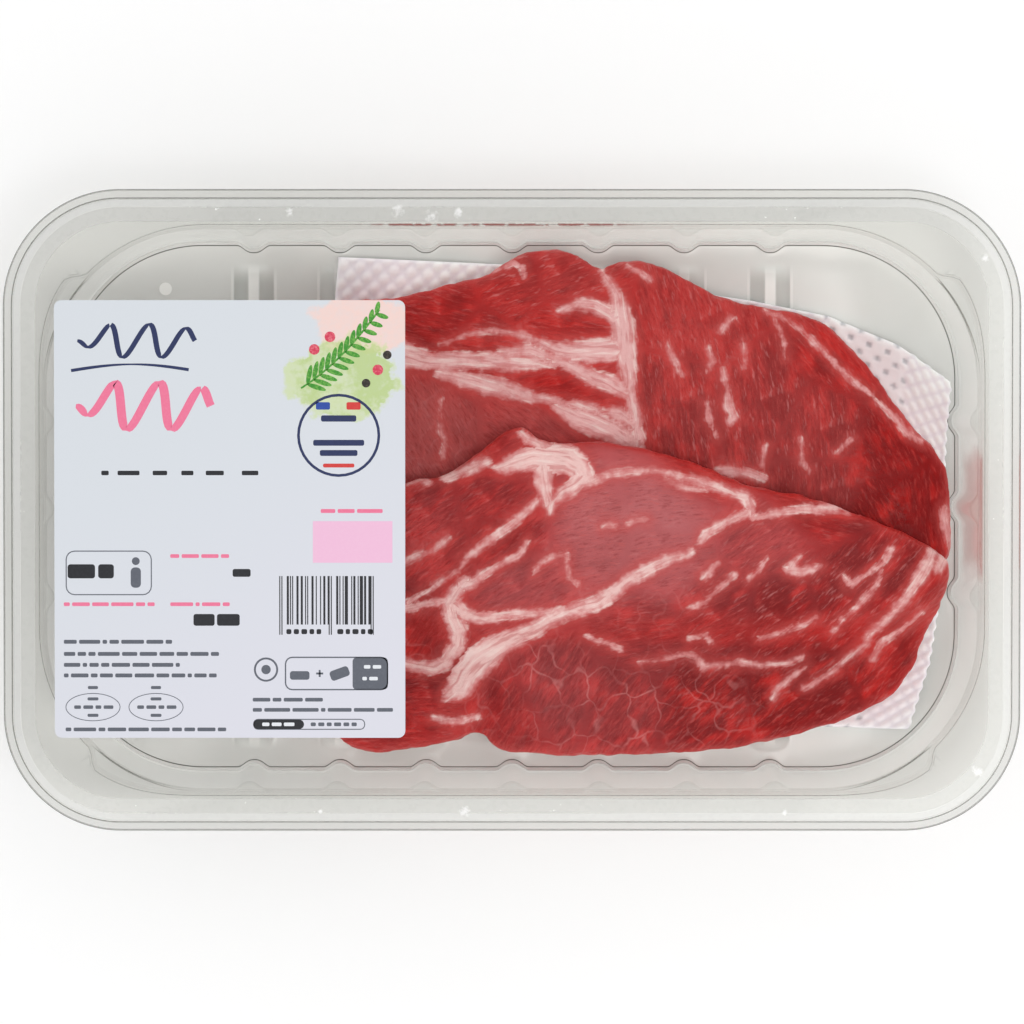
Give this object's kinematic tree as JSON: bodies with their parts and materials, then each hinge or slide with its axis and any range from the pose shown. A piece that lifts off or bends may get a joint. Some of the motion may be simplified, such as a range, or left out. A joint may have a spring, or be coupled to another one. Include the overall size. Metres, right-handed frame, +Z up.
{
  "type": "meat tray pack",
  "caption": "Shallow clear ribbed food tray sealed with a clear lidding film, holding overlapping raw meat chops on a white absorbent pad, with a plain printed paper label on the film.",
  "frame": {"origin": "middle of the tray's flat underside", "axes": "+X along the tray's long side, away from the label; +Y towards the back long side; +Z up, towards the film"},
  "size_m": [0.26, 0.164, 0.041],
  "materials": {
    "clear_plastic": "clear thermoformed sheet, slightly grey, glossy",
    "pad_fibre": "soft quilted absorbent, white with a faint pink tint, matte",
    "dark_meat": "moist raw lean with pale fat seams",
    "pale_meat": "moist raw lean with wide pale fat seams",
    "clear_film": "thin clear taut film, glossy",
    "label_paper": "smooth bluish white paper, satin"
  },
  "bodies": {
    "root": {"tray": "clear_plastic", "pad": "pad_fibre", "chop_back": "dark_meat", "chop_front": "pale_meat", "film": "clear_film", "label": "label_paper"}
  },
  "joints": []
}
